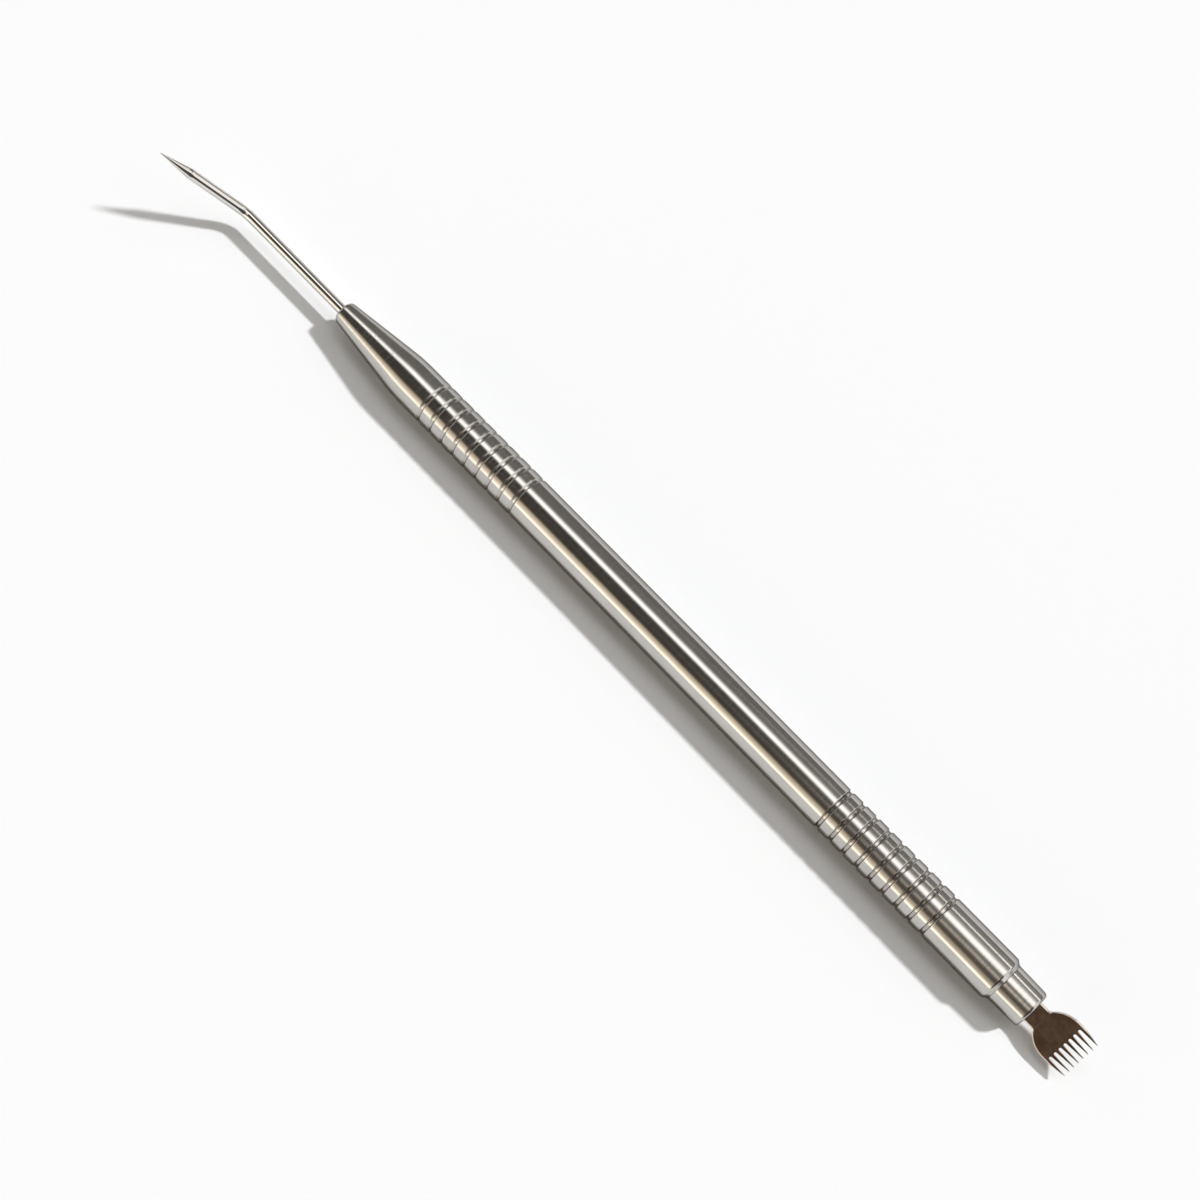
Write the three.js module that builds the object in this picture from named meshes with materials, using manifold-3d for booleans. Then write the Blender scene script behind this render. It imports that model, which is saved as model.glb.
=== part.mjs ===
// Lash lift tool: a slim steel handle with a bent needle at one end and a small comb at the other.
// Millimetres. +X runs along the handle towards the needle, +Z is up.
// The handle lies on Z = 0, rolled so that its needle leans to +Y.
// The origin is under the handle's axis, at the middle of the tool's length.

import * as THREE from 'three';
import { mergeVertices } from 'three/addons/utils/BufferGeometryUtils.js';
import Module from 'manifold-3d';

// Handle
const barrelRadius = 2.75;
const barrelLength = 47.9;
const barrelWall = 0.6;
const spigotLength = 8;
const spigotChamfer = 0.5;
const fitClearance = 0.03;

// Turned rings near each end of the handle, with sloped sides to the grooves between them
const ringCount = 8;
const ringPitch = 1.9;
const grooveWidth = 0.58;
const grooveFloorWidth = 0.3;
const noseGrooveDepth = 0.14;
const rearGrooveDepth = 0.19;

// Nose: plain band, then a cone down to the needle
const nosePlainLength = 4.6;
const coneLength = 11.1;
const coneEase = 1.2;
const noseEndRadius = 1.42;
const noseEdgeEase = 0.4;

// Needle: round wire, one bend, a ground point
const needleRadius = 0.6;
const needleTangLength = 8;
const needleStraightLength = 17.4;
const needleBendAngle = THREE.MathUtils.degToRad(45);
const needleBendRadius = 3;
const needleLegLength = 12;
const needlePointLength = 3.9;
const needleTipRadius = 0.04;
const needleTangChamfer = 0.15;

// Rear grip: plain band and conical shoulder behind the comb
const rearPlainLength = 8.65;
const shoulderLength = 0.5;

// Ferrule: tapered collar outside the rear grip, plug inside it
const ferruleLength = 4;
const ferruleRootRadius = 2.37;
const ferruleEndRadius = 2.28;
const ferruleEdgeEase = 0.35;
const plugRadius = 1.8;
const plugLength = 6;
const plugChamfer = 0.3;

// Comb: a plate whose neck enters the ferrule
const combTangLength = 7;
const combNeckWidth = 2.58;
const combNeckLength = 1.3;
const combLength = 6.8;
const bladeHalfWidth = 2.7;
const bladeWidestAt = 4;
const bladeFrontRun = 5.8;
const combNeckThickness = 0.6;
const bladeThickness = 0.48;
const combTipThickness = 0.26;
const bladeStepLength = 0.25;

// Comb teeth
const toothCount = 8;
const toothLength = 2.3;
const gapRootWidth = 0.29;
const outerToothWidth = 0.46;
const toothTipPitch = 0.67;
const toothTipWidth = 0.1;

// How the tool lies: rolled from its needle straight up by whole facets, so that it rests on one
const leanFacets = 3;

// Facets of the round pieces
const turnedFacets = 32;
const needleFacets = 16;
const curveSteps = 5;
const bendSteps = 8;
const gapRootSteps = 4;

const barrelBoreRadius = barrelRadius - barrelWall;
const spigotRadius = barrelBoreRadius - fitClearance;
const grooveSlope = (grooveWidth - grooveFloorWidth) / 2;
const ringedLength = ringCount * ringPitch + grooveFloorWidth;
const coneStart = ringedLength + nosePlainLength;
const noseEnd = coneStart + coneLength;
const shoulderStart = ringedLength + rearPlainLength;
const rearEnd = shoulderStart + shoulderLength;
const ferruleEnd = rearEnd + ferruleLength;
const combNeckHalf = combNeckWidth / 2;
const shoulderRun = (bladeWidestAt - combNeckLength) / Math.sqrt(1 - (combNeckHalf / bladeHalfWidth) ** 2);
const toothRoot = combLength - toothLength;

const wasm = await Module();
wasm.setup();

const steel = (color, roughness) => new THREE.MeshStandardMaterial({ color, roughness, metalness: 1 });

// A closed three.js geometry as a solid that can be joined and cut
function toSolid(geometry) {
  const bare = geometry.clone();
  bare.deleteAttribute('normal');
  bare.deleteAttribute('uv');
  const merged = mergeVertices(bare, 1e-5);
  return new wasm.Manifold(new wasm.Mesh({
    numProp: 3,
    vertProperties: new Float32Array(merged.attributes.position.array),
    triVerts: new Uint32Array(merged.index.array),
  }));
}

// A solid back as a three.js geometry
function toGeometry(solid) {
  const mesh = solid.getMesh();
  const geometry = new THREE.BufferGeometry();
  geometry.setAttribute('position', new THREE.BufferAttribute(new Float32Array(mesh.vertProperties), 3));
  geometry.setIndex(new THREE.BufferAttribute(new Uint32Array(mesh.triVerts), 1));
  geometry.computeVertexNormals();
  return geometry;
}

// A piece turned about the X axis from a profile drawn as (distance along the axis, radius).
// Its facets touch the true radius at their middles, and one of them faces straight down.
function turned(profile) {
  const overFacets = 1 / Math.cos(Math.PI / turnedFacets);
  const points = profile.getPoints(curveSteps).map((p) => new THREE.Vector2(p.y * overFacets, p.x));
  const geometry = new THREE.LatheGeometry(points, turnedFacets, Math.PI / turnedFacets);
  return geometry.rotateZ(-Math.PI / 2);
}

// Draws a profile on to a corner, and eases it with a curve that touches both of its sides
function easedCorner(profile, corner, next, ease) {
  const before = profile.currentPoint.clone().sub(corner).setLength(ease).add(corner);
  const after = next.clone().sub(corner).setLength(ease).add(corner);
  profile.lineTo(before.x, before.y);
  profile.quadraticCurveTo(corner.x, corner.y, after.x, after.y);
}

// Spigot and rings shared by both grips. The first groove's floor starts at the barrel's end face, at 0.
function ringedProfile(grooveDepth) {
  const grooveRadius = barrelRadius - grooveDepth;
  const profile = new THREE.Path();
  profile.moveTo(-spigotLength, 0);
  profile.lineTo(-spigotLength, spigotRadius - spigotChamfer);
  profile.lineTo(-spigotLength + spigotChamfer, spigotRadius);
  profile.lineTo(0, spigotRadius);
  profile.lineTo(0, grooveRadius);
  for (let ring = 0; ring < ringCount; ring += 1) {
    const start = ring * ringPitch + grooveFloorWidth;
    const end = (ring + 1) * ringPitch;
    profile.lineTo(start, grooveRadius);
    profile.lineTo(start + grooveSlope, barrelRadius);
    profile.lineTo(end - grooveSlope, barrelRadius);
    profile.lineTo(end, grooveRadius);
  }
  profile.lineTo(ringedLength, grooveRadius);
  profile.lineTo(ringedLength + grooveSlope, barrelRadius);
  return profile;
}

// Plain hollow tube, whose outer edges slope down into the first groove at each end
function handleBarrel() {
  const half = barrelLength / 2;
  const profile = new THREE.Path();
  profile.moveTo(-half, barrelBoreRadius);
  profile.lineTo(-half, barrelRadius - rearGrooveDepth);
  profile.lineTo(-half + grooveSlope, barrelRadius);
  profile.lineTo(half - grooveSlope, barrelRadius);
  profile.lineTo(half, barrelRadius - noseGrooveDepth);
  profile.lineTo(half, barrelBoreRadius);
  profile.lineTo(-half, barrelBoreRadius);
  return new THREE.Mesh(turned(profile), steel(0xb3aca3, 0.16));
}

// Rings, plain band and cone, with a blind bore that the needle seats in
function noseGrip() {
  const boreRadius = needleRadius + fitClearance;
  const noseEdge = new THREE.Vector2(noseEnd, noseEndRadius);
  const profile = ringedProfile(noseGrooveDepth);
  easedCorner(profile, new THREE.Vector2(coneStart, barrelRadius), noseEdge, coneEase);
  easedCorner(profile, noseEdge, new THREE.Vector2(noseEnd, boreRadius), noseEdgeEase);
  profile.lineTo(noseEnd, boreRadius);
  profile.lineTo(noseEnd - needleTangLength, boreRadius);
  profile.lineTo(noseEnd - needleTangLength, 0);
  return new THREE.Mesh(turned(profile), steel(0xaea79d, 0.24));
}

// Rings, plain band and conical shoulder, with a blind bore for the ferrule's plug
function rearGrip() {
  const boreRadius = plugRadius + fitClearance;
  const profile = ringedProfile(rearGrooveDepth);
  profile.lineTo(shoulderStart, barrelRadius);
  profile.lineTo(rearEnd, ferruleRootRadius);
  profile.lineTo(rearEnd, boreRadius);
  profile.lineTo(rearEnd - plugLength, boreRadius);
  profile.lineTo(rearEnd - plugLength, 0);
  return new THREE.Mesh(turned(profile), steel(0xb0a99f, 0.22));
}

// Tapered collar and plug, with a slot that the comb's tang fits
function combFerrule() {
  const endEdge = new THREE.Vector2(ferruleEnd, ferruleEndRadius);
  const endCentre = new THREE.Vector2(ferruleEnd, 0);
  const profile = new THREE.Path();
  profile.moveTo(rearEnd - plugLength, 0);
  profile.lineTo(rearEnd - plugLength, plugRadius - plugChamfer);
  profile.lineTo(rearEnd - plugLength + plugChamfer, plugRadius);
  profile.lineTo(rearEnd, plugRadius);
  profile.lineTo(rearEnd, ferruleRootRadius);
  easedCorner(profile, endEdge, endCentre, ferruleEdgeEase);
  profile.lineTo(endCentre.x, endCentre.y);
  const slotDepth = combTangLength;
  const slot = new THREE.BoxGeometry(
    2 * slotDepth,
    combNeckWidth + 2 * fitClearance,
    combNeckThickness + 2 * fitClearance,
  );
  slot.translate(ferruleEnd, 0, 0);
  const slotted = toSolid(turned(profile)).subtract(toSolid(slot));
  return new THREE.Mesh(toGeometry(slotted), steel(0xb0a99f, 0.2));
}

// Bent wire, carried as rings of points along its centre line: tang, straight, bend, leg and point
function needle() {
  const bendReach = needleBendRadius * Math.tan(needleBendAngle / 2);
  const bendStart = needleStraightLength - bendReach;
  const stations = [
    { x: -needleTangLength, z: 0, angle: 0, radius: needleRadius - needleTangChamfer },
    { x: -needleTangLength + needleTangChamfer, z: 0, angle: 0, radius: needleRadius },
  ];
  for (let step = 0; step <= bendSteps; step += 1) {
    const angle = needleBendAngle * step / bendSteps;
    stations.push({
      x: bendStart + needleBendRadius * Math.sin(angle),
      z: needleBendRadius * (1 - Math.cos(angle)),
      angle,
      radius: needleRadius,
    });
  }
  const alongLeg = (distance, radius) => ({
    x: needleStraightLength + distance * Math.cos(needleBendAngle),
    z: distance * Math.sin(needleBendAngle),
    angle: needleBendAngle,
    radius,
  });
  stations.push(alongLeg(needleLegLength - needlePointLength, needleRadius));
  stations.push(alongLeg(needleLegLength, needleTipRadius));
  const mesh = new THREE.Mesh(roundLoft(stations, needleFacets), steel(0x9d968c, 0.18));
  mesh.position.x = noseEnd;
  return mesh;
}

// A closed skin over round sections whose centres lie in the XZ plane
function roundLoft(stations, sides) {
  const overFacets = 1 / Math.cos(Math.PI / sides);
  const positions = [];
  const triangles = [];
  stations.forEach((station) => {
    for (let side = 0; side < sides; side += 1) {
      const turn = 2 * Math.PI * (side + 0.5) / sides;
      const across = station.radius * overFacets * Math.sin(turn);
      const up = station.radius * overFacets * Math.cos(turn);
      positions.push(
        station.x - up * Math.sin(station.angle),
        -across,
        station.z + up * Math.cos(station.angle),
      );
    }
  });
  for (let ring = 0; ring + 1 < stations.length; ring += 1) {
    for (let side = 0; side < sides; side += 1) {
      const next = (side + 1) % sides;
      const a = ring * sides + side;
      const b = ring * sides + next;
      triangles.push(a, b, a + sides, b, b + sides, a + sides);
    }
  }
  const last = (stations.length - 1) * sides;
  for (let side = 1; side + 1 < sides; side += 1) {
    triangles.push(0, side + 1, side);
    triangles.push(last, last + side, last + side + 1);
  }
  const geometry = new THREE.BufferGeometry();
  geometry.setAttribute('position', new THREE.Float32BufferAttribute(positions, 3));
  geometry.setIndex(triangles);
  geometry.computeVertexNormals();
  return geometry;
}

// Half-width of the blade at a distance from the ferrule: an ellipse to its widest place, a longer one after
function bladeEdge(distance) {
  const run = distance < bladeWidestAt ? shoulderRun : bladeFrontRun;
  return bladeHalfWidth * Math.sqrt(1 - ((distance - bladeWidestAt) / run) ** 2);
}

// Plan of the comb before its teeth are cut: tang, neck, round shoulders and nearly straight sides
function combPlan() {
  const shoulderTurn = Math.asin(combNeckHalf / bladeHalfWidth);
  const frontTurn = Math.acos((combLength - bladeWidestAt) / bladeFrontRun);
  const plan = new THREE.Shape();
  plan.moveTo(-combTangLength, -combNeckHalf);
  plan.lineTo(combNeckLength, -combNeckHalf);
  plan.absellipse(bladeWidestAt, 0, shoulderRun, bladeHalfWidth, Math.PI + shoulderTurn, 1.5 * Math.PI);
  plan.absellipse(bladeWidestAt, 0, bladeFrontRun, bladeHalfWidth, 1.5 * Math.PI, 2 * Math.PI - frontTurn);
  plan.absellipse(bladeWidestAt, 0, bladeFrontRun, bladeHalfWidth, frontTurn, 0.5 * Math.PI);
  plan.absellipse(bladeWidestAt, 0, shoulderRun, bladeHalfWidth, 0.5 * Math.PI, Math.PI - shoulderTurn);
  plan.lineTo(combNeckLength, combNeckHalf);
  plan.lineTo(-combTangLength, combNeckHalf);
  return plan;
}

// Side view of the comb: neck at full thickness, a ground step, then a taper to the tooth tips
function combSide() {
  const neck = combNeckThickness / 2;
  const blade = bladeThickness / 2;
  const tip = combTipThickness / 2;
  const side = new THREE.Shape();
  side.moveTo(-combTangLength, -neck);
  side.lineTo(combNeckLength, -neck);
  side.lineTo(combNeckLength + bladeStepLength, -blade);
  side.lineTo(combLength, -tip);
  side.lineTo(combLength, tip);
  side.lineTo(combNeckLength + bladeStepLength, blade);
  side.lineTo(combNeckLength, neck);
  side.lineTo(-combTangLength, neck);
  return side;
}

// One gap between two teeth: round at its root, wider at the tips, leaning a little to the middle
function toothGap(rootCentre, tipCentre, rootPitch) {
  const rootHalf = gapRootWidth / 2;
  const tipHalf = (rootPitch - toothTipWidth) / 2;
  const rootRound = toothRoot + rootHalf;
  const past = 2 * toothLength;
  const lean = (tipCentre - rootCentre) / (combLength - rootRound);
  const spread = (tipHalf - rootHalf) / (combLength - rootRound);
  const gap = new THREE.Shape();
  gap.moveTo(rootRound, rootCentre + rootHalf);
  gap.absarc(rootRound, rootCentre, rootHalf, 0.5 * Math.PI, 1.5 * Math.PI);
  gap.lineTo(rootRound + past, rootCentre - rootHalf + past * (lean - spread));
  gap.lineTo(rootRound + past, rootCentre + rootHalf + past * (lean + spread));
  return gap;
}

// Stamped plate: its plan and its side view together, less the gaps between its teeth
function comb() {
  const planDepth = 2 * combNeckThickness;
  const sideDepth = 4 * bladeHalfWidth;
  const planGeometry = new THREE.ExtrudeGeometry(combPlan(), {
    depth: planDepth, bevelEnabled: false, curveSegments: 2 * curveSteps,
  }).translate(0, 0, -planDepth / 2);
  const sideGeometry = new THREE.ExtrudeGeometry(combSide(), {
    depth: sideDepth, bevelEnabled: false,
  }).translate(0, 0, -sideDepth / 2).rotateX(Math.PI / 2);
  let plate = toSolid(planGeometry).intersect(toSolid(sideGeometry));
  const gapCount = toothCount - 1;
  const outerGap = bladeEdge(toothRoot) - outerToothWidth - gapRootWidth / 2;
  const rootPitch = 2 * outerGap / (gapCount - 1);
  for (let gap = 0; gap < gapCount; gap += 1) {
    const fromMiddle = gap - (gapCount - 1) / 2;
    const cutter = new THREE.ExtrudeGeometry(
      toothGap(fromMiddle * rootPitch, fromMiddle * toothTipPitch, rootPitch),
      { depth: planDepth, bevelEnabled: false, curveSegments: gapRootSteps },
    ).translate(0, 0, -planDepth / 2);
    plate = plate.subtract(toSolid(cutter));
  }
  const mesh = new THREE.Mesh(toGeometry(plate), steel(0x8f877c, 0.22));
  mesh.position.x = ferruleEnd;
  return mesh;
}

function named(mesh, name) {
  mesh.name = name;
  return mesh;
}

// Both ends are drawn outwards from the barrel's end faces
const frontEnd = new THREE.Group();
frontEnd.position.x = barrelLength / 2;
frontEnd.add(named(noseGrip(), 'nose_grip'));
frontEnd.add(named(needle(), 'needle'));

const rearEndGroup = new THREE.Group();
rearEndGroup.position.x = -barrelLength / 2;
rearEndGroup.rotation.z = Math.PI;
rearEndGroup.add(named(rearGrip(), 'rear_grip'));
rearEndGroup.add(named(combFerrule(), 'comb_ferrule'));
rearEndGroup.add(named(comb(), 'comb'));

const tool = new THREE.Group();
tool.add(named(handleBarrel(), 'handle_barrel'));
tool.add(frontEnd);
tool.add(rearEndGroup);

const needleReach = noseEnd + needleStraightLength + needleLegLength * Math.cos(needleBendAngle);
const combReach = ferruleEnd + combLength;
tool.position.set((combReach - needleReach) / 2, 0, barrelRadius);
tool.rotation.x = -leanFacets * 2 * Math.PI / turnedFacets;

export default tool;
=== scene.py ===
# Lash lift tool: polished steel handle, turned grips, bent needle and toothed comb.
# The pieces are numpy surfaces in metres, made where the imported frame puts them.
import math

import bmesh
import bpy
import numpy as np
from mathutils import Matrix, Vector


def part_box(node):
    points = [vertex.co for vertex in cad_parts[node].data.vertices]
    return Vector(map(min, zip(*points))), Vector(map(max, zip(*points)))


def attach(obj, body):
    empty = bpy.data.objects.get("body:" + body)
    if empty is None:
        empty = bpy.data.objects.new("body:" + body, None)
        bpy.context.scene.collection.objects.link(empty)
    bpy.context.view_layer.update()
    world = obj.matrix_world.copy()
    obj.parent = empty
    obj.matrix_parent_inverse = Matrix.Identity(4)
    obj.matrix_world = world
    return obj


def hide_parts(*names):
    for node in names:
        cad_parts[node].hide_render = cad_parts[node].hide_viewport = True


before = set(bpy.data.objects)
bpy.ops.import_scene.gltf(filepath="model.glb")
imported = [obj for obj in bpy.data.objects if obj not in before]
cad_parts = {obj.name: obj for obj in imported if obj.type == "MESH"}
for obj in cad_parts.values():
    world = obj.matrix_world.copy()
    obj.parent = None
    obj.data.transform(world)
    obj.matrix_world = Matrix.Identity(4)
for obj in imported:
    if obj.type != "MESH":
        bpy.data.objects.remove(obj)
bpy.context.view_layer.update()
print("frame loaded:", ", ".join(sorted(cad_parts)))

mm = 0.001
lean = math.radians(33.75)  # roll of the needle's bend and the comb's face from straight up, to +Y
uvName = "surface"  # u runs round a piece, v along it
hollowName = "hollow"  # 1 on the floor of a groove or the comb's cut edge, 0 on the outer faces
mergeDistance = 2e-7  # points closer than this become one
sharpDegrees = 35  # edges that turn further than this are drawn sharp

# Places taken from the frame
barrelLow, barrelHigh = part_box("handle_barrel")
axisHeight = (barrelLow.z + barrelHigh.z) / 2
handleRadius = (barrelHigh.z - barrelLow.z) / 2
noseLow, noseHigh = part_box("nose_grip")
rearLow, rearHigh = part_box("rear_grip")
ferruleLow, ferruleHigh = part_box("comb_ferrule")
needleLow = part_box("needle")[0]


# Mesh helpers

def unitRows(rows):
    # Rows brought to length one; a row of zeros stays as it is
    return rows / np.maximum(np.linalg.norm(rows, axis=1, keepdims=True), 1e-12)


def leaned(x, across, up):
    # Points drawn about the axis with the needle straight up, rolled to how the tool lies
    y = across * math.cos(lean) + up * math.sin(lean)
    z = axisHeight + up * math.cos(lean) - across * math.sin(lean)
    return np.stack(np.broadcast_arrays(x, y, z), axis=-1)


def quadratic(t, start, corner, end):
    # Curve that leaves its start towards the corner and comes to its end from there
    return (1 - t) ** 2 * start + 2 * t * (1 - t) * corner + t ** 2 * end


def easedProfile(corners, steps=6, guard=0.3):
    # A profile of (distance, radius, ease) corners. Each corner becomes a quadratic curve that
    # leaves its sides one ease before and after it, with a guard point on each side to keep long
    # faces flat.
    rows = np.array(corners, float)
    points, ease = rows[:, :2], rows[:, 2:]
    toLast = unitRows(np.roll(points, 1, axis=0) - points)
    toNext = unitRows(np.roll(points, -1, axis=0) - points)
    start = points + ease * toLast
    end = points + ease * toNext
    t = np.linspace(0, 1, steps)[None, :, None]
    curve = quadratic(t, start[:, None], points[:, None], end[:, None])
    lead = (start + guard * ease * toLast)[:, None]
    tail = (end + guard * ease * toNext)[:, None]
    return np.concatenate([lead, curve, tail], axis=1).reshape(-1, 2)


def gridFaces(rows, columns, closedRows=False):
    # Quads of a grid whose columns close on themselves
    row = np.arange(rows if closedRows else rows - 1)[:, None]
    column = np.arange(columns)[None, :]
    nextRow = (row + 1) % rows
    nextColumn = (column + 1) % columns
    corners = [row * columns + column, row * columns + nextColumn,
               nextRow * columns + nextColumn, nextRow * columns + column]
    shape = (len(row), columns)
    return np.stack([np.broadcast_to(c, shape) for c in corners], axis=-1).reshape(-1, 4)


def gridUv(rows, columns, along, closedRows=False):
    # The uv of each quad's corners: share of a turn, and millimetres along
    row = np.arange(rows if closedRows else rows - 1)[:, None]
    column = np.arange(columns)[None, :]
    v = np.append(along, along[-1]) / mm
    u = [column, column + 1, column + 1, column]
    w = [v[row], v[row], v[row + 1], v[row + 1]]
    shape = (len(row), columns)
    pairs = [np.stack([np.broadcast_to(a / columns, shape), np.broadcast_to(b, shape)], axis=-1)
             for a, b in zip(u, w)]
    return np.stack(pairs, axis=2).reshape(-1, 2)


def makePiece(name, points, faces, uv=None, hollow=None, flatCount=0, sharpAngle=sharpDegrees):
    # Puts points and faces into a mesh, closes its poles and seams, and points its faces outwards.
    # The last flatCount faces are flat, the rest are smooth.
    mesh = bpy.data.meshes.new(name)
    mesh.from_pydata(points.reshape(-1, 3).tolist(), [], [list(map(int, f)) for f in faces])
    if uv is not None:
        mesh.uv_layers.new(name=uvName).data.foreach_set("uv", uv.astype(np.float32).ravel())
    if hollow is not None:
        depth = mesh.attributes.new(hollowName, "FLOAT", "POINT")
        depth.data.foreach_set("value", hollow.astype(np.float32).ravel())
    work = bmesh.new()
    work.from_mesh(mesh)
    bmesh.ops.remove_doubles(work, verts=work.verts, dist=mergeDistance)
    bmesh.ops.recalc_face_normals(work, faces=work.faces)
    work.to_mesh(mesh)
    work.free()
    mesh.set_sharp_from_angle(angle=math.radians(sharpAngle))
    number = np.arange(len(mesh.polygons))
    mesh.polygons.foreach_set("use_smooth", number < len(number) - flatCount)
    piece = bpy.data.objects.new(name, mesh)
    bpy.context.scene.collection.objects.link(piece)
    return piece


def turnedPiece(name, profile, sides, closed=False, hollow=None):
    # Point (x, r) of the profile at turn a lies at (x, r sin a, axis height + r cos a)
    turn = np.arange(sides) * 2 * math.pi / sides
    x, r = profile[:, :1], profile[:, 1:]
    points = np.stack([x + 0 * turn, r * np.sin(turn), axisHeight + r * np.cos(turn)], axis=-1)
    along = np.append(0, np.cumsum(np.linalg.norm(np.diff(profile, axis=0), axis=1)))
    uv = gridUv(len(profile), sides, along, closed)
    if hollow is not None:
        hollow = np.repeat(hollow, sides)
    return makePiece(name, points, gridFaces(len(profile), sides, closed), uv, hollow)


def settle(piece, node, material):
    # Every piece stands for one CAD node of the rigid tool
    piece.data.materials.append(material)
    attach(piece, "root")
    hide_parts(node)
    print("made", piece.name, len(piece.data.polygons), "faces")


# Material helpers

def newFinish(name, metallic):
    material = bpy.data.materials.new(name)
    material.use_nodes = True
    tree = material.node_tree
    shader = tree.nodes["Principled BSDF"]
    shader.inputs["Metallic"].default_value = metallic
    return material, tree, shader


def addNode(tree, kind, **values):
    node = tree.nodes.new(kind)
    for key, value in values.items():
        if key in node.inputs:
            node.inputs[key].default_value = value
        else:
            setattr(node, key, value)
    return node


def stretchedNoise(tree, scale, detail=3.0, roughness=0.6):
    # Noise on Object coordinates, at a scale per metre along each axis of the tool
    place = addNode(tree, "ShaderNodeTexCoord")
    centre = (0, 0, -axisHeight * scale[2])
    mapping = addNode(tree, "ShaderNodeMapping", Location=centre, Scale=scale)
    noise = addNode(tree, "ShaderNodeTexNoise", Scale=1.0, Detail=detail, Roughness=roughness)
    tree.links.new(place.outputs["Object"], mapping.inputs["Vector"])
    tree.links.new(mapping.outputs["Vector"], noise.inputs["Vector"])
    return noise.outputs["Fac"]


def spread(tree, value, low, high, fromLow=0.3, fromHigh=0.7):
    # Stretches a range of a value to another range. Most of a noise lies between 0.3 and 0.7.
    reach = tree.nodes.new("ShaderNodeMapRange")
    for socket, number in zip(reach.inputs[1:5], (fromLow, fromHigh, low, high)):
        socket.default_value = number
    tree.links.new(value, reach.inputs["Value"])
    return reach.outputs["Result"]


def blend(tree, share, first, second):
    # Mixes two colours, each a socket or three numbers
    mix = addNode(tree, "ShaderNodeMix", data_type="RGBA")
    slots = [socket for socket in mix.inputs if socket.type == "RGBA"]
    for slot, colour in zip(slots, (first, second)):
        if isinstance(colour, tuple):
            slot.default_value = (*colour, 1)
        else:
            tree.links.new(colour, slot)
    tree.links.new(share, mix.inputs["Factor"])
    return [socket for socket in mix.outputs if socket.type == "RGBA"][0]


def addLines(tree, shader, height, strength, distance):
    bump = addNode(tree, "ShaderNodeBump", Strength=strength, Distance=distance)
    tree.links.new(height, bump.inputs["Height"])
    tree.links.new(bump.outputs["Normal"], shader.inputs["Normal"])


def alongTheTool(tree, shader, amount):
    # Turning marks run round the piece, so highlights stretch along it
    tangent = addNode(tree, "ShaderNodeTangent", direction_type="UV_MAP", uv_map=uvName)
    shader.inputs["Anisotropic"].default_value = amount
    shader.inputs["Anisotropic Rotation"].default_value = 0.25  # a quarter turn
    tree.links.new(tangent.outputs["Tangent"], shader.inputs["Tangent"])


# Steel of the turned pieces and the wire: each piece's own look changes what differs

turnedLook = {
    "dark": (0.49, 0.472, 0.448),
    "light": (0.55, 0.532, 0.508),
    "edge": (0.25, 0.24, 0.23),  # tint where the steel is seen at a slant
    "clouds": (220, 420, 420),  # scale of the cloudiness along each axis
    "grooveShadeFrom": 0.3,  # share of a groove's depth where its painted shade starts
    "roughness": (0.13, 0.2),
    "marks": 3200,  # scale of the turning marks along the tool
    "markRun": 0.02,  # their scale round it, as a share of that
    "markDepth": 0.01 * mm,
    "bump": 0.02,
    "stretch": 0.9,  # how far highlights stretch along the tool
}


def turnedSteel(name, look, paintedGrooveShade=None):
    # Steel with fine marks round the axis, slow cloudiness along it and painted shade darkening
    # the grooves
    material, tree, shader = newFinish(name, 1.0)
    roundScale = look["marks"] * look["markRun"]
    marks = stretchedNoise(tree, (look["marks"], roundScale, roundScale))
    clouds = stretchedNoise(tree, look["clouds"], detail=2.0)
    tone = blend(tree, spread(tree, clouds, 0, 1), look["dark"], look["light"])
    if paintedGrooveShade is not None:
        # Painted shade: the grooves are coloured darker by their depth
        depth = addNode(tree, "ShaderNodeAttribute", attribute_name=hollowName)
        grooveShadeShare = spread(tree, depth.outputs["Fac"], 0, 1, look["grooveShadeFrom"], 1)
        tone = blend(tree, grooveShadeShare, tone, paintedGrooveShade)
    tree.links.new(tone, shader.inputs["Base Color"])
    shader.inputs["Specular Tint"].default_value = (*look["edge"], 1)
    tree.links.new(spread(tree, marks, *look["roughness"]), shader.inputs["Roughness"])
    addLines(tree, shader, marks, look["bump"], look["markDepth"])
    alongTheTool(tree, shader, look["stretch"])
    return material


# Barrel: plain hollow tube whose ends slope into the first grooves

barrelTube = {
    "wall": 0.6 * mm,
    "edgeEase": 0.08 * mm,
    "boreEase": 0.06 * mm,
    "sides": 160,
    "look": {**turnedLook, "dark": (0.50, 0.482, 0.458), "roughness": (0.14, 0.2),
             "marks": 9000, "stretch": 0.7},
}

# Grips: eight turned rings at each end of the barrel

gripRings = {
    "count": 8,
    "pitch": 1.9 * mm,
    "grooveWidth": 0.58 * mm,
    "grooveFloor": 0.3 * mm,
    "spigotRadius": 2.12 * mm,
    "spigotEase": 0.35 * mm,
    "seamEase": 0.04 * mm,
    "sides": 144,
}

noseTurned = {
    "grooveDepth": 0.14 * mm,
    "ringEase": 0.09 * mm,
    "floorEase": 0.06 * mm,
    "coneLength": 11.1 * mm,
    "coneEase": 1.5 * mm,
    "endRadius": 1.42 * mm,
    "endEase": 0.4 * mm,
    "boreRadius": 0.63 * mm,
    "boreDepth": 8 * mm,
    "boreEase": 0.05 * mm,
    # Colour of the painted shade on the grooves' floors
    "paintedGrooveShade": (0.48, 0.455, 0.42),
    "look": {**turnedLook, "roughness": (0.12, 0.26), "marks": 2600, "bump": 0.01, "stretch": 0.8},
}

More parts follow.
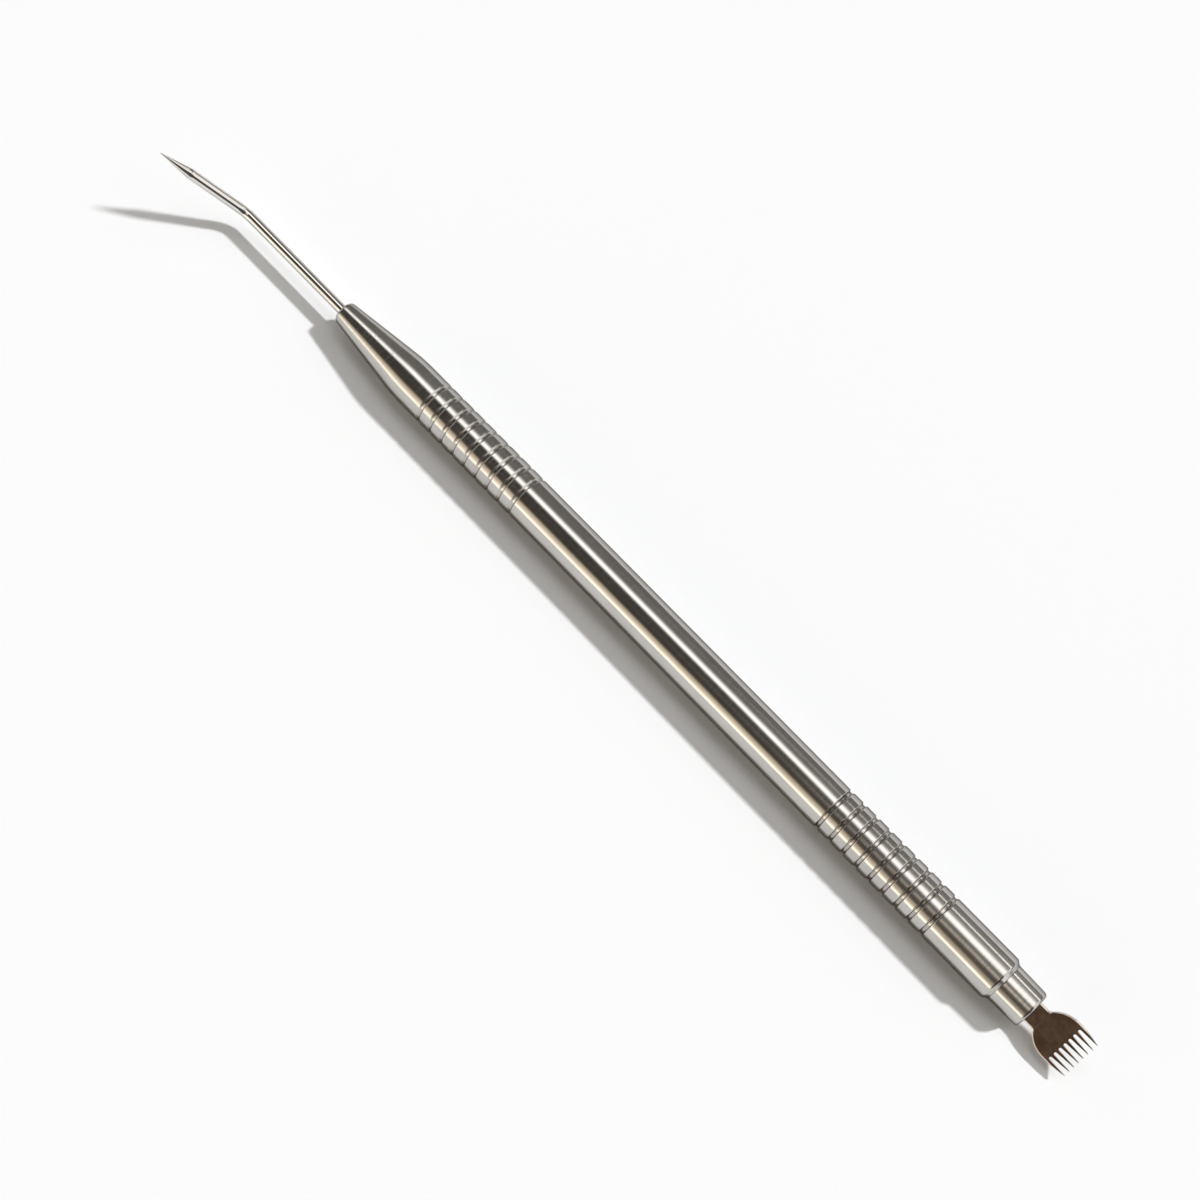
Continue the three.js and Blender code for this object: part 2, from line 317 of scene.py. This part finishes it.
rearTurned = {
    "grooveDepth": 0.19 * mm,
    "ringEase": 0.08 * mm,
    "floorEase": 0.06 * mm,
    "shoulderLength": 0.5 * mm,
    "shoulderEase": 0.14 * mm,
    "endRadius": 2.37 * mm,
    "boreRadius": 1.83 * mm,
    "boreDepth": 6 * mm,
    "boreEase": 0.05 * mm,
    # Colour of the painted shade on the grooves' floors
    "paintedGrooveShade": (0.44, 0.41, 0.375),
    "look": turnedLook,
}

grooveSlope = (gripRings["grooveWidth"] - gripRings["grooveFloor"]) / 2  # run of a groove's side


def makeBarrel():
    b = barrelTube
    bore = handleRadius - b["wall"]
    corners = []
    for seam, inwards, grip in ((barrelLow.x, 1, rearTurned), (barrelHigh.x, -1, noseTurned)):
        tubeEnd = [(seam, bore, b["boreEase"]),
                   (seam, handleRadius - grip["grooveDepth"], grip["floorEase"]),
                   (seam + inwards * grooveSlope, handleRadius, b["edgeEase"])]
        corners += tubeEnd[::inwards]
    piece = turnedPiece("barrel_tube", easedProfile(corners), b["sides"], closed=True)
    settle(piece, "handle_barrel", turnedSteel("barrelSteel", b["look"]))


def ringCorners(seam, outwards, spigotEnd, grip):
    # Spigot, then groove and ring in turn from the barrel's end face outwards
    g = gripRings
    floor = handleRadius - grip["grooveDepth"]
    corners = [(spigotEnd, 0, 0), (spigotEnd, g["spigotRadius"], g["spigotEase"]),
               (seam, g["spigotRadius"], g["seamEase"]), (seam, floor, g["seamEase"])]
    for ring in range(g["count"] + 1):
        start = seam + outwards * (ring * g["pitch"] + g["grooveFloor"])
        end = seam + outwards * (ring + 1) * g["pitch"]
        corners += [(start, floor, grip["floorEase"]),
                    (start + outwards * grooveSlope, handleRadius, grip["ringEase"])]
        if ring < g["count"]:
            corners += [(end - outwards * grooveSlope, handleRadius, grip["ringEase"]),
                        (end, floor, grip["floorEase"])]
    return corners


def boreCorners(end, outwards, grip):
    # From the rim of a grip's end bore to the middle of its floor
    floor, radius = end - outwards * grip["boreDepth"], grip["boreRadius"]
    return [(end, radius, grip["boreEase"]), (floor, radius, 0), (floor, 0, 0)]


def turnedGrip(name, seam, outwards, spigotEnd, grip, endCorners):
    # A grip's rings and its own end, with the depth of its grooves kept for the painted shade in
    # them
    profile = easedProfile(ringCorners(seam, outwards, spigotEnd, grip) + endCorners)
    fromSeam = outwards * (profile[:, 0] - seam)
    ringsEnd = gripRings["count"] * gripRings["pitch"] + gripRings["grooveWidth"]
    ringed = (fromSeam >= 0) & (fromSeam < ringsEnd)
    hollow = np.clip((handleRadius - profile[:, 1]) / grip["grooveDepth"], 0, 1) * ringed
    return turnedPiece(name, profile, gripRings["sides"], hollow=hollow)


def makeNose():
    n = noseTurned
    end = noseHigh.x
    endCorners = [(end - n["coneLength"], handleRadius, n["coneEase"]),
                  (end, n["endRadius"], n["endEase"]), *boreCorners(end, 1, n)]
    piece = turnedGrip("nose_turned", barrelHigh.x, 1, noseLow.x, n, endCorners)
    settle(piece, "nose_grip", turnedSteel("noseSteel", n["look"], n["paintedGrooveShade"]))


def makeRear():
    r = rearTurned
    end = rearLow.x
    endCorners = [(end + r["shoulderLength"], handleRadius, r["shoulderEase"]),
                  (end, r["endRadius"], r["boreEase"]), *boreCorners(end, -1, r)]
    piece = turnedGrip("rear_turned", barrelLow.x, -1, rearHigh.x, r, endCorners)
    settle(piece, "rear_grip", turnedSteel("rearSteel", r["look"], r["paintedGrooveShade"]))


makeBarrel()
makeNose()
makeRear()


# Ferrule: tapered collar with a round edge, slotted for the comb

ferrulePlug = {
    "rootRadius": 2.37 * mm,
    "endRadius": 2.28 * mm,
    "rootEase": 0.05 * mm,
    "endEase": 0.4 * mm,
    "plugRadius": 1.8 * mm,
    "plugEase": 0.3 * mm,
    "slotWidth": 2.64 * mm,
    "slotHeight": 0.66 * mm,
    "slotDepth": 7 * mm,
    "sides": 144,
    "look": turnedLook,
}


def cutSlot(piece, x, size):
    # Takes a box that lies in the comb's plane out of a piece, and keeps the cut mesh
    signs = np.array([[a, b, c] for a in (-1, 1) for b in (-1, 1) for c in (-1, 1)])
    along, across, up = (signs * np.array(size) / 2).T
    faces = [(0, 1, 3, 2), (4, 6, 7, 5), (0, 4, 5, 1), (2, 3, 7, 6), (0, 2, 6, 4), (1, 5, 7, 3)]
    cutter = makePiece("slot_cutter", leaned(x + along, across, up), faces)
    cut = piece.modifiers.new("slot", "BOOLEAN")
    cut.operation = "DIFFERENCE"
    cut.object = cutter
    graph = bpy.context.evaluated_depsgraph_get()
    cutMesh = bpy.data.meshes.new_from_object(piece.evaluated_get(graph))
    piece.modifiers.clear()
    oldMesh, piece.data = piece.data, cutMesh
    bpy.data.meshes.remove(oldMesh)
    bpy.data.objects.remove(cutter)
    piece.data.set_sharp_from_angle(angle=math.radians(sharpDegrees))


def makeFerrule():
    f = ferrulePlug
    root, end = rearLow.x, ferruleLow.x
    corners = [(ferruleHigh.x, 0, 0), (ferruleHigh.x, f["plugRadius"], f["plugEase"]),
               (root, f["plugRadius"], f["rootEase"]), (root, f["rootRadius"], f["rootEase"]),
               (end, f["endRadius"], f["endEase"]), (end, 0, 0)]
    piece = turnedPiece("ferrule_plug", easedProfile(corners), f["sides"])
    cutSlot(piece, end, (2 * f["slotDepth"], f["slotWidth"], f["slotHeight"]))
    settle(piece, "comb_ferrule", turnedSteel("ferruleSteel", f["look"]))


makeFerrule()


# Needle: drawn wire with one bend and a ground point

needleWire = {
    "radius": 0.6 * mm,
    "straight": 17.4 * mm,
    "bendAngle": math.radians(45),
    "bendRadius": 3 * mm,
    "leg": 12 * mm,
    "point": 3.9 * mm,
    "pointStep": 0.02 * mm,
    "stepLength": 0.03 * mm,
    "tipRadius": 0.04 * mm,
    "tangEase": 0.15 * mm,
    "straightSteps": 24,
    "bendSteps": 24,
    "legSteps": 12,
    "pointSteps": 24,
    "tipSteps": 5,
    "sides": 64,
    "look": {**turnedLook, "dark": (0.69, 0.665, 0.63), "light": (0.76, 0.735, 0.70),
             "edge": (0.2, 0.19, 0.18), "roughness": (0.09, 0.12), "marks": 5000, "bump": 0.005,
             "stretch": 0.4},
}


def needleBend():
    # Where the bend starts and ends along the wire, and what it takes from each straight side
    n = needleWire
    taken = n["bendRadius"] * math.tan(n["bendAngle"] / 2)
    start = n["straight"] - taken
    return start, start + n["bendRadius"] * n["bendAngle"], taken


def needlePath(distance):
    # Centre (x, height over the axis) and slope at each distance from the nose: straight, then an
    # arc, then the leg
    n = needleWire
    bendStart, bendEnd = needleBend()[:2]
    slope = np.clip((distance - bendStart) / n["bendRadius"], 0, n["bendAngle"])
    before = np.minimum(distance, bendStart)
    after = np.maximum(distance - bendEnd, 0)
    x = before + n["bendRadius"] * np.sin(slope) + after * math.cos(n["bendAngle"])
    height = n["bendRadius"] * (1 - np.cos(slope)) + after * math.sin(n["bendAngle"])
    return noseHigh.x + x, height, slope


def makeNeedle():
    # A circle of the wire's radius carried square along its path, narrowing to the point
    n = needleWire
    tang = needleLow.x - noseHigh.x
    bendStart, bendEnd, taken = needleBend()
    tip = bendEnd + n["leg"] - taken
    pointStart = tip - n["point"]
    taper = np.linspace(0, 1, n["pointSteps"])
    wire = np.concatenate([
        [tang, tang, tang + n["tangEase"]],
        np.linspace(tang + 2 * n["tangEase"], bendStart, n["straightSteps"]),
        np.linspace(bendStart, bendEnd, n["bendSteps"])[1:],
        np.linspace(bendEnd, pointStart, n["legSteps"])[1:]])
    wireRadius = np.full(len(wire), n["radius"])
    wireRadius[:2] = 0, n["radius"] - n["tangEase"]
    ground = pointStart + n["stepLength"] + taper * (n["point"] - n["stepLength"] - n["tipRadius"])
    groundStart = n["radius"] - n["pointStep"]
    groundRadius = groundStart + taper * (n["tipRadius"] - groundStart)
    cap = np.linspace(1 / n["tipSteps"], 1, n["tipSteps"]) * math.pi / 2
    distance = np.concatenate([wire, ground, tip - n["tipRadius"] * (1 - np.sin(cap))])
    radius = np.concatenate([wireRadius, groundRadius, n["tipRadius"] * np.cos(cap)])[:, None]
    x, height, slope = (row[:, None] for row in needlePath(distance))
    turn = np.arange(n["sides"]) * 2 * math.pi / n["sides"]
    up = radius * np.cos(turn)
    points = leaned(x - up * np.sin(slope), radius * np.sin(turn), height + up * np.cos(slope))
    uv = gridUv(len(distance), n["sides"], distance)
    piece = makePiece("needle_wire", points, gridFaces(len(distance), n["sides"]), uv)
    settle(piece, "needle", turnedSteel("needleSteel", n["look"]))


makeNeedle()


# Comb: stamped plate with round shoulders and eight ground teeth

combPlate = {
    "tang": 7 * mm,
    "neckHalf": 1.29 * mm,
    "neckLength": 1.3 * mm,
    "neckEase": 0.3 * mm,
    "bladeHalf": 2.7 * mm,
    "widestAt": 4 * mm,
    "frontRun": 5.8 * mm,
    "length": 6.8 * mm,
    "neckThickness": 0.53 * mm,
    "bladeThickness": 0.48 * mm,
    "tipThickness": 0.26 * mm,
    "stepLength": 0.25 * mm,
    "teeth": 8,
    "toothLength": 2.3 * mm,
    "gapRoot": 0.29 * mm,
    "outerTooth": 0.46 * mm,
    "tipPitch": 0.67 * mm,
    "tipWidth": 0.1 * mm,
    "rim": 0.17 * mm,
    "gapRim": 0.06 * mm,
    "tipRimShare": 0.2,  # what is left of the rim at the tips
    "mitreLimit": 0.35,  # keeps the rim short at sharp corners
    "sharpAngle": 50,  # degrees
    "neckSteps": 12,
    "shoulderSteps": 28,
    "frontSteps": 16,
    "gapSteps": 9,
    "rimSteps": 5,
    "look": {
        "dark": (0.222, 0.148, 0.106),
        "light": (0.31, 0.213, 0.157),
        "worn": (0.46, 0.345, 0.265),
        # Colour of the painted highlight on the neck's ground step
        "paintedStepHighlight": (0.6, 0.465, 0.37),
        "cutEdge": (0.68, 0.66, 0.63),
        "specks": (5200, 5200, 5200),
        "clouds": (420, 700, 700),
        "wornReach": (0, 0.85, 0.42, 0.66),  # least and most wear, and the clouds' range for it
        "edgeReach": (0, 1, 0.02, 0.14),  # the same for bare steel, by the depth of the rim
        "rubbing": (900, 14000, 14000),
        "rubDepth": 0.01 * mm,
        "bump": 0.08,
        "roughness": (0.12, 0.2),
    },
}


def bladeHalfWidth(distance):
    # Ellipse from the neck to the widest place, then a longer ellipse to the tips
    c = combPlate
    neckShare = c["neckHalf"] / c["bladeHalf"]
    shoulderRun = (c["widestAt"] - c["neckLength"]) / math.sqrt(1 - neckShare ** 2)
    run = np.where(distance < c["widestAt"], shoulderRun, c["frontRun"])
    return c["bladeHalf"] * np.sqrt(1 - ((distance - c["widestAt"]) / run) ** 2)


def combSide():
    # One side of the plan from the neck to the outer tooth, with a hollow curve where the shoulder
    # starts, and the places of the ground step's two creases on it
    c = combPlate
    neck, step = c["neckLength"], c["neckLength"] + c["stepLength"]
    t = np.linspace(0, 1, c["neckSteps"])
    shoulderStart = neck + c["neckEase"] / 2
    hollowX = quadratic(t, neck - c["neckEase"], neck, shoulderStart)
    hollowY = quadratic(t, c["neckHalf"], c["neckHalf"], bladeHalfWidth(np.array(shoulderStart)))
    turn = np.linspace(0, math.pi / 2, c["shoulderSteps"])[1:]
    shoulder = shoulderStart + (c["widestAt"] - shoulderStart) * (1 - np.cos(turn))
    front = np.linspace(c["widestAt"], c["length"], c["frontSteps"])[1:]
    curveX = np.concatenate([hollowX, shoulder, front])
    curveY = np.concatenate([hollowY, bladeHalfWidth(np.concatenate([shoulder, front]))])
    x = np.unique(np.concatenate([curveX, [neck, step]]))
    return np.stack([x, np.interp(x, curveX, curveY)], axis=1), np.searchsorted(x, [neck, step])


def toothGaps():
    # The gaps from the one outer tooth to the other: round at the root, straight sides to the tips
    c = combPlate
    gaps = np.arange(c["teeth"] - 1) - (c["teeth"] - 2) / 2
    root = c["length"] - c["toothLength"]
    outerGap = float(bladeHalfWidth(np.array(root))) - c["outerTooth"] - c["gapRoot"] / 2
    rootPitch = outerGap / gaps[-1]
    rootHalf, tipHalf = c["gapRoot"] / 2, (rootPitch - c["tipWidth"]) / 2
    arc = np.linspace(math.pi / 2, -math.pi / 2, c["gapSteps"])
    x = np.concatenate([[c["length"]], root + rootHalf * (1 - np.cos(arc)), [c["length"]]])
    half = np.concatenate([[tipHalf], rootHalf * np.sin(arc), [-tipHalf]])
    atTip = np.concatenate([[1], np.zeros(len(arc)), [1]])
    across = gaps[::-1, None] * (rootPitch + atTip * (c["tipPitch"] - rootPitch)) + half
    return np.stack([np.broadcast_to(x, across.shape), across], axis=-1).reshape(-1, 2)


def halfThickness(distance):
    # Full thickness on the neck, a short ground step, then a taper to the tips
    c = combPlate
    stops = [-c["tang"], c["neckLength"], c["neckLength"] + c["stepLength"], c["length"]]
    return np.interp(distance, stops, [c["neckThickness"] / 2, c["neckThickness"] / 2,
                                       c["bladeThickness"] / 2, c["tipThickness"] / 2])


def combSteel(look):
    # Dark stamped steel with fine lengthwise rubbing, small specks, worn places and bare cut edges
    material, tree, shader = newFinish("combSteel", 1.0)
    rubbing = stretchedNoise(tree, look["rubbing"], detail=4.0)
    specks = stretchedNoise(tree, look["specks"], detail=2.0)
    tone = blend(tree, spread(tree, specks, 0, 1), look["dark"], look["light"])
    clouds = stretchedNoise(tree, look["clouds"], detail=4.0, roughness=0.7)
    tone = blend(tree, spread(tree, clouds, *look["wornReach"]), tone, look["worn"])
    # The neck's ground step is coloured lighter, a painted highlight along the crease
    halfStep = combPlate["stepLength"] / 2
    place = addNode(tree, "ShaderNodeTexCoord")
    axes = addNode(tree, "ShaderNodeSeparateXYZ")
    tree.links.new(place.outputs["Object"], axes.inputs[0])
    onStep = addNode(tree, "ShaderNodeMath", operation="COMPARE")
    tree.links.new(axes.outputs["X"], onStep.inputs[0])
    onStep.inputs[1].default_value = ferruleLow.x - combPlate["neckLength"] - halfStep
    onStep.inputs[2].default_value = halfStep
    tone = blend(tree, onStep.outputs[0], tone, look["paintedStepHighlight"])
    depth = addNode(tree, "ShaderNodeAttribute", attribute_name=hollowName)
    bare = spread(tree, depth.outputs["Fac"], *look["edgeReach"])
    tone = blend(tree, bare, tone, look["cutEdge"])
    tree.links.new(tone, shader.inputs["Base Color"])
    tree.links.new(spread(tree, rubbing, *look["roughness"]), shader.inputs["Roughness"])
    addLines(tree, shader, rubbing, look["bump"], look["rubDepth"])
    return material


def makeComb():
    # The rim's round section carried round the plan, with flat faces between the rims
    c = combPlate
    side, creases = combSide()
    neckEnd = np.array([[-c["tang"], c["neckHalf"]]])
    mirror = np.array([1, -1])
    outline = np.concatenate([neckEnd, side, toothGaps(), (side * mirror)[::-1], neckEnd * mirror])
    last = unitRows(np.roll(outline, 1, axis=0) - outline)
    following = unitRows(np.roll(outline, -1, axis=0) - outline)
    normalA = np.stack([-last[:, 1], last[:, 0]], axis=1)
    normalB = np.stack([following[:, 1], -following[:, 0]], axis=1)
    turning = 1 + (normalA * normalB).sum(1, keepdims=True)
    inwards = (normalA + normalB) / np.maximum(turning, c["mitreLimit"])
    # The sides' rims go straight across, which keeps the creases straight and the faces flat
    onSide = np.ones(len(outline), bool)
    onSide[len(side) + 1:-len(side) - 1] = False
    inwards[onSide] = np.array([0, 1]) / inwards[onSide, 1:]
    turn = np.linspace(0, math.pi / 2, c["rimSteps"])
    inset = np.concatenate([(1 - np.cos(turn))[::-1], 1 - np.cos(turn)])[:, None]
    drop = np.concatenate([(1 - np.sin(turn))[::-1], 1 - np.sin(turn)])[:, None]
    sign = np.repeat([1, -1], len(turn))[:, None]
    root = c["length"] - c["toothLength"]
    toTip = np.interp(outline[:, 0], [root, c["length"]], [1, c["tipRimShare"]])
    rim = np.where(onSide, c["rim"], c["gapRim"]) * toTip
    plan = outline[None] + (inset * rim)[..., None] * inwards[None]
    height = sign * (halfThickness(plan[..., 0]) - drop * rim)
    points = leaned(ferruleLow.x - plan[..., 0], plan[..., 1], height)
    rings, count = points.shape[:2]
    rimFaces = gridFaces(rings, count)
    index = np.arange(count)
    neck, step = creases + 1
    plates = [np.concatenate([index[:neck + 1], index[-1 - neck:]]),
              np.concatenate([index[neck:step + 1], index[count - 1 - step:count - neck]]),
              index[step:count - step]]
    caps = [base + plate for base in (0, (rings - 1) * count) for plate in plates]
    cutEdge = np.broadcast_to(drop, (rings, count))
    piece = makePiece("comb_plate", points, [*rimFaces, *caps], hollow=cutEdge,
                      flatCount=len(caps), sharpAngle=c["sharpAngle"])
    settle(piece, "comb", combSteel(c["look"]))


makeComb()


# Floor, light and camera

studio = {
    "floorSize": 6.0,  # metres
    "floorColour": (0.884, 0.895, 0.914),
    "floorRoughness": 0.9,
    "grainScale": (3000, 3000, 3000),
    "grainShade": 0.985,
    "sunFrom": (-0.40, -0.56, 0.72),
    "sunStrength": 2.74,
    "sunAngle": 4.5,  # degrees across
    # Light panels by their angle about the tool: 0 is overhead, 90 is the -Y side
    "panels": [(-90, (1.68, 1.52, 1.26)), (-83, (2.5, 2.29, 1.9)), (-77, (2.1, 1.91, 1.58)),
               (-69, (1.27, 1.13, 0.91)), (-61, (0.96, 0.82, 0.65)), (-56, (0.74, 0.63, 0.49)),
               (-49, (0.15, 0.13, 0.10)), (-42, (0.075, 0.067, 0.058)),
               (-4, (0.065, 0.061, 0.057)), (1, (0.26, 0.255, 0.25)), (8.5, (2.15, 2.13, 2.08)),
               (16, (2.15, 2.13, 2.08)), (26, (0.66, 0.65, 0.63)), (33, (0.23, 0.22, 0.21)),
               (90, (0.20, 0.195, 0.187))],
    # The panels beside the comb's end: a wider strip, a thin lamp to its side and a lit wall
    "rearPanels": [(-90, (1.7, 1.53, 1.27)), (-84, (2.4, 2.2, 1.83)), (-77, (2.4, 2.2, 1.83)),
                   (-71, (0.92, 0.81, 0.65)), (-66, (0.55, 0.485, 0.39)),
                   (-58, (0.42, 0.362, 0.294)), (-53, (0.18, 0.156, 0.127)),
                   (-41, (0.2, 0.173, 0.144)), (-33, (0.36, 0.32, 0.27)),
                   (-27, (1.15, 1.04, 0.90)), (-20, (1.15, 1.04, 0.90)), (-15, (0.53, 0.49, 0.45)),
                   (-9, (0.46, 0.44, 0.415)), (-4, (0.72, 0.70, 0.68)), (2, (2.15, 2.13, 2.08)),
                   (21, (2.15, 2.13, 2.08)), (28, (1.1, 1.08, 1.05)), (37, (0.58, 0.57, 0.55)),
                   (47, (0.42, 0.41, 0.39)), (49, (2.5, 2.43, 2.25)), (55, (2.5, 2.43, 2.25)),
                   (57, (0.55, 0.54, 0.51)), (72, (0.42, 0.41, 0.39)), (90, (0.22, 0.214, 0.205))],
    # Each fade is the range of the direction's x over which one part of the light becomes the next
    "rearFade": (0.015, -0.05),
    # Past the panels' ends are dim walls, then wide panels beyond the comb and a pale wall beyond
    # the needle
    "needleEndFade": (0.78, 0.66),
    "combEndFade": (-0.30, -0.18),
    "wallColour": (0.06, 0.058, 0.055),
    "farPanels": [(-90, (0.2, 0.175, 0.142)), (-80, (0.10, 0.09, 0.08)), (-5, (0.07, 0.066, 0.06)),
                  (0, (0.25, 0.245, 0.24)), (6, (1.2, 1.18, 1.15)), (62, (1.2, 1.18, 1.15)),
                  (70, (0.2, 0.195, 0.187)), (90, (0.12, 0.117, 0.112))],
    "farFade": (-0.25, -0.32),
    "endPanels": [(-90, (0.2, 0.175, 0.142)), (-34, (0.08, 0.076, 0.07)), (-25, (0.3, 0.29, 0.28)),
                  (-13, (1.4, 1.38, 1.34)), (45, (1.4, 1.38, 1.34)), (75, (0.7, 0.685, 0.66)),
                  (90, (0.2, 0.195, 0.187))],
    "endFade": (-0.88, -0.91),
    "needleWall": (1.0, 0.98, 0.95),
    "needleWallFade": (0.84, 0.92),
    # The horizon fades into the panels over a range of the direction's height
    "horizonColour": (0.982, 0.982, 0.981),
    "horizonFade": (0.05, 0.085),
    # The share of the panels' light that matt surfaces take, so that the shadow stays deep
    "mattShare": 0.78,
}


def floorFinish():
    # Matt pale surface with a trace of paper grain
    material, tree, shader = newFinish("paleFloor", 0.0)
    grain = stretchedNoise(tree, studio["grainScale"])
    low = tuple(studio["grainShade"] * channel for channel in studio["floorColour"])
    tree.links.new(blend(tree, grain, low, studio["floorColour"]), shader.inputs["Base Color"])
    shader.inputs["Roughness"].default_value = studio["floorRoughness"]
    shader.inputs["Specular IOR Level"].default_value = 0.0
    return material


def makeFloor():
    half = studio["floorSize"] / 2
    points = np.array([(-half, -half, 0), (half, -half, 0), (half, half, 0), (-half, half, 0)])
    floor = makePiece("floor", points, [(0, 1, 2, 3)])
    floor.data.materials.append(floorFinish())


def panelRamp(tree, turn, panels):
    # Panels side by side, from the +Y horizon over the tool to the -Y horizon
    ramp = addNode(tree, "ShaderNodeValToRGB")
    tree.links.new(turn, ramp.inputs["Fac"])
    stops = ramp.color_ramp.elements
    stops.remove(stops[1])
    for number, (degrees, colour) in enumerate(panels):
        stop = stops.new((degrees + 90) / 180) if number else stops[0]
        stop.color = (*colour, 1)
    return ramp.outputs["Color"]


def makeWorld():
    # Long panels round the tool's axis, changing towards its ends, over a pale horizon
    world = bpy.data.worlds.new("panels")
    bpy.context.scene.world = world
    world.use_nodes = True
    tree = world.node_tree
    direction = addNode(tree, "ShaderNodeTexCoord")
    axes = addNode(tree, "ShaderNodeSeparateXYZ")
    tree.links.new(direction.outputs["Generated"], axes.inputs[0])
    angle = addNode(tree, "ShaderNodeMath", operation="ARCTAN2")
    tree.links.new(axes.outputs["Y"], angle.inputs[0])
    tree.links.new(axes.outputs["Z"], angle.inputs[1])
    turn = spread(tree, angle.outputs[0], 0, 1, math.pi / 2, -math.pi / 2)

    def fadeShare(fade, axis="X"):
        # How far a direction is through a fade
        return spread(tree, axes.outputs[axis], 0, 1, *studio[fade])

    front = panelRamp(tree, turn, studio["panels"])
    rear = panelRamp(tree, turn, studio["rearPanels"])
    colour = blend(tree, fadeShare("rearFade"), front, rear)
    for fade in ("needleEndFade", "combEndFade"):
        colour = blend(tree, fadeShare(fade), studio["wallColour"], colour)
    for panels, fade in (("farPanels", "farFade"), ("endPanels", "endFade")):
        colour = blend(tree, fadeShare(fade), colour, panelRamp(tree, turn, studio[panels]))
    colour = blend(tree, fadeShare("needleWallFade"), colour, studio["needleWall"])
    colour = blend(tree, fadeShare("horizonFade", "Z"), studio["horizonColour"], colour)
    background = tree.nodes["Background"]
    tree.links.new(colour, background.inputs["Color"])
    rays = addNode(tree, "ShaderNodeLightPath")
    strength = spread(tree, rays.outputs["Is Diffuse Ray"], 1, studio["mattShare"], 0, 1)
    tree.links.new(strength, background.inputs["Strength"])


def makeSun():
    # A small lamp for the shadow, kept out of the reflections that the panels make
    light = bpy.data.lights.new("key", "SUN")
    light.energy = studio["sunStrength"]
    light.angle = math.radians(studio["sunAngle"])
    key = bpy.data.objects.new("key", light)
    key.rotation_mode = "QUATERNION"
    key.rotation_quaternion = Vector(studio["sunFrom"]).to_track_quat("Z", "Y")
    key.visible_glossy = False
    bpy.context.scene.collection.objects.link(key)


camera = {
    "place": (-46.49 * mm, 64.76 * mm, 194.20 * mm),
    "turn": (21.555, -4.327, -133.210),  # degrees
    "lens": 56.74,
    "sensor": 36,
    "nearest": 5 * mm,
}


def makeCamera():
    lens = bpy.data.cameras.new("view")
    lens.lens = camera["lens"]
    lens.sensor_width = camera["sensor"]
    lens.clip_start = camera["nearest"]
    view = bpy.data.objects.new("view", lens)
    view.location = camera["place"]
    view.rotation_euler = [math.radians(degrees) for degrees in camera["turn"]]
    bpy.context.scene.collection.objects.link(view)
    bpy.context.scene.camera = view


makeFloor()
makeWorld()
makeSun()
makeCamera()
bpy.context.scene.view_settings.view_transform = "Standard"
print("stage ready")
